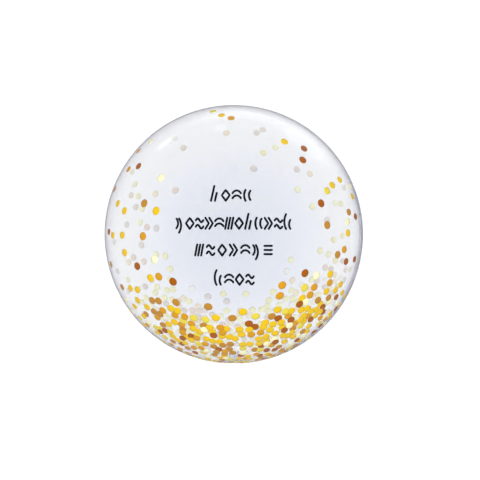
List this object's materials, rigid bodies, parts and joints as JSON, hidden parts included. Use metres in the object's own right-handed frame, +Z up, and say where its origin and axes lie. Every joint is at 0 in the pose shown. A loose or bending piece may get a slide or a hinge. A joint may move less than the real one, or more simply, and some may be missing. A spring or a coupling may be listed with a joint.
{
  "type": "clear bubble balloon",
  "caption": "Round balloon of clear stretch film with printed confetti dots, a welded rim and a flat filling neck, lying on its back",
  "frame": {"origin": "centre of the small flat spot on which the balloon lies, at floor level", "axes": "+Z up, out of the middle of the printed front; -Y to the filling neck; +Y to the crown of the print; +X to the right of someone reading the front"},
  "size_m": [0.61, 0.6099, 0.6016],
  "materials": {
    "film": "clear blown stretch film, glossy",
    "dot_ink": "printed opaque ink in gold, amber, copper and cream",
    "message_vinyl": "thin cut vinyl, near black",
    "valve_film": "thin clear valve strip"
  },
  "bodies": {
    "root": {"film_bubble": "film"}
  },
  "joints": []
}
